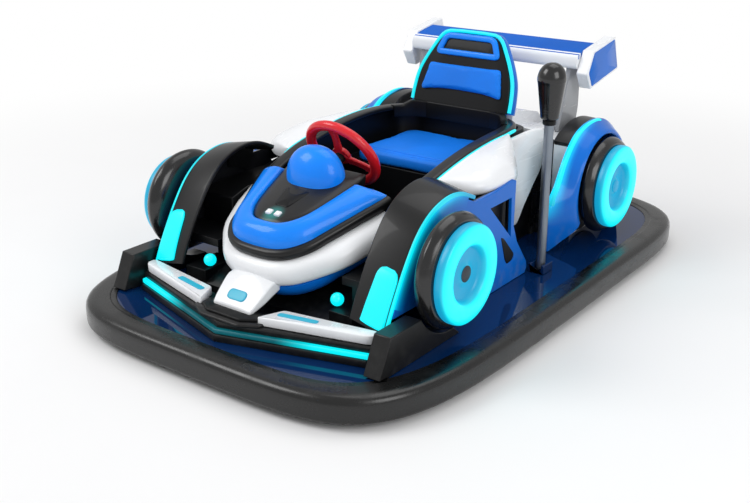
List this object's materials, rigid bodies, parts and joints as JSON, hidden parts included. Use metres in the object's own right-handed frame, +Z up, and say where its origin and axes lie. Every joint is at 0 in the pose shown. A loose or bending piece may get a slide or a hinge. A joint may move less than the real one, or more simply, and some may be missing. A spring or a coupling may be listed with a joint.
{
  "type": "bumper car",
  "caption": "Low electric bumper car with racing bodywork, a rubber rim all round, seat, steering wheel, drive lever, rear wing and lit wheels.",
  "frame": {"origin": "on the floor, under the middle of the platform", "axes": "+Z up, the nose points to -Y and the car's left side is +X; at rest the steering wheel is straight and the lever upright"},
  "size_m": [1.1, 1.7, 0.6483],
  "materials": {
    "bumper_rubber": "satin moulded rubber, with a slightly ribbed skin",
    "deck_navy": "deep gloss, mirrors what stands on it",
    "bare_steel": "plated, lightly brushed",
    "black_body": "satin black moulding",
    "wheel_rubber": "matt, worn",
    "tyre": "smooth gloss black, a light sheen",
    "light_lens": "milky lens lit cyan from behind",
    "charcoal_body": "satin dark grey moulding",
    "white_body": "gloss gel coat",
    "blue_body": "gloss gel coat",
    "deep_blue_body": "gloss gel coat",
    "blue_vinyl": "upholstery vinyl with a fine grain",
    "red_plastic": "gloss moulded rim"
  },
  "bodies": {
    "car_body": {"bumper_ring": "bumper_rubber", "deck_plate": "deck_navy", "chassis_frame": "bare_steel", "drive_unit": "bare_steel", "battery_block": "black_body", "cockpit_tub": "black_body", "front_body": "black_body", "side_box_left": "black_body", "side_box_right": "black_body", "steering_column": "black_body", "seat_back_light": "light_lens", "splitter_light": "light_lens", "cockpit_coaming": "charcoal_body", "cowl_panel": "charcoal_body", "front_splitter": "charcoal_body", "front_endplate_left": "charcoal_body", "front_endplate_right": "charcoal_body", "front_fender_left": "charcoal_body", "front_fender_right": "charcoal_body", "lever_base": "charcoal_body", "nose_shell": "white_body", "front_flap_left": "white_body", "front_flap_right": "white_body", "side_pod_left": "white_body", "side_pod_right": "white_body", "rear_body": "white_body", "wing_endplate_left": "white_body", "wing_endplate_right": "white_body", "cowl_band": "blue_body", "cowl_dome": "blue_body", "seat_back": "blue_body", "wing_blade": "blue_body", "nose_lower_band": "deep_blue_body", "side_panel_left": "deep_blue_body", "side_panel_right": "deep_blue_body", "rear_fender_left": "deep_blue_body", "rear_fender_right": "deep_blue_body", "seat_cushion": "blue_vinyl", "back_pad": "blue_vinyl"},
    "steering": {"steering_wheel": "red_plastic"},
    "hand_lever": {"lever_pole": "bare_steel", "lever_grip": "black_body"},
    "drive_left": {"drive_wheel_left": "wheel_rubber"},
    "drive_right": {"drive_wheel_right": "wheel_rubber"},
    "fork_left": {"caster_fork_left": "bare_steel"},
    "fork_right": {"caster_fork_right": "bare_steel"},
    "castor_left": {"caster_wheel_left": "wheel_rubber"},
    "castor_right": {"caster_wheel_right": "wheel_rubber"},
    "front_wheel_left": {"show_tyre_front_left": "tyre", "show_ring_front_left": "light_lens"},
    "front_wheel_right": {"show_tyre_front_right": "tyre", "show_ring_front_right": "light_lens"},
    "rear_wheel_left": {"show_tyre_rear_left": "tyre", "show_ring_rear_left": "light_lens"},
    "rear_wheel_right": {"show_tyre_rear_right": "tyre", "show_ring_rear_right": "light_lens"}
  },
  "joints": [
    {"name": "steering_turn", "type": "hinge", "parent": "car_body", "child": "steering", "pos_m": [0, -0.28, 0.414], "axis": [0, 0.8518, 0.5239], "range_deg": [-90, 90]},
    {"name": "lever_tilt", "type": "hinge", "parent": "car_body", "child": "hand_lever", "pos_m": [0.395, 0.07, 0.092], "axis": [1, 0, 0], "range_deg": [-18, 18], "stiffness_Nm_per_rad": 12},
    {"name": "drive_wheel_spin_left", "type": "hinge", "parent": "car_body", "child": "drive_left", "pos_m": [0.15, 0.15, 0.065], "axis": [1, 0, 0], "continuous": true},
    {"name": "castor_swivel_left", "type": "hinge", "parent": "car_body", "child": "fork_left", "pos_m": [0.3, -0.56, 0.055], "axis": [0, 0, 1], "continuous": true},
    {"name": "castor_wheel_spin_left", "type": "hinge", "parent": "fork_left", "child": "castor_left", "pos_m": [0.3, -0.546, 0.023], "axis": [1, 0, 0], "continuous": true},
    {"name": "front_wheel_spin_left", "type": "hinge", "parent": "car_body", "child": "front_wheel_left", "pos_m": [0.44, -0.421, 0.245], "axis": [1, 0, 0], "continuous": true},
    {"name": "rear_wheel_spin_left", "type": "hinge", "parent": "car_body", "child": "rear_wheel_left", "pos_m": [0.415, 0.42, 0.233], "axis": [1, 0, 0], "continuous": true},
    {"name": "drive_wheel_spin_right", "type": "hinge", "parent": "car_body", "child": "drive_right", "pos_m": [-0.15, 0.15, 0.065], "axis": [1, 0, 0], "continuous": true},
    {"name": "castor_swivel_right", "type": "hinge", "parent": "car_body", "child": "fork_right", "pos_m": [-0.3, -0.56, 0.055], "axis": [0, 0, 1], "continuous": true},
    {"name": "castor_wheel_spin_right", "type": "hinge", "parent": "fork_right", "child": "castor_right", "pos_m": [-0.3, -0.546, 0.023], "axis": [1, 0, 0], "continuous": true},
    {"name": "front_wheel_spin_right", "type": "hinge", "parent": "car_body", "child": "front_wheel_right", "pos_m": [-0.44, -0.421, 0.245], "axis": [1, 0, 0], "continuous": true},
    {"name": "rear_wheel_spin_right", "type": "hinge", "parent": "car_body", "child": "rear_wheel_right", "pos_m": [-0.415, 0.42, 0.233], "axis": [1, 0, 0], "continuous": true}
  ]
}
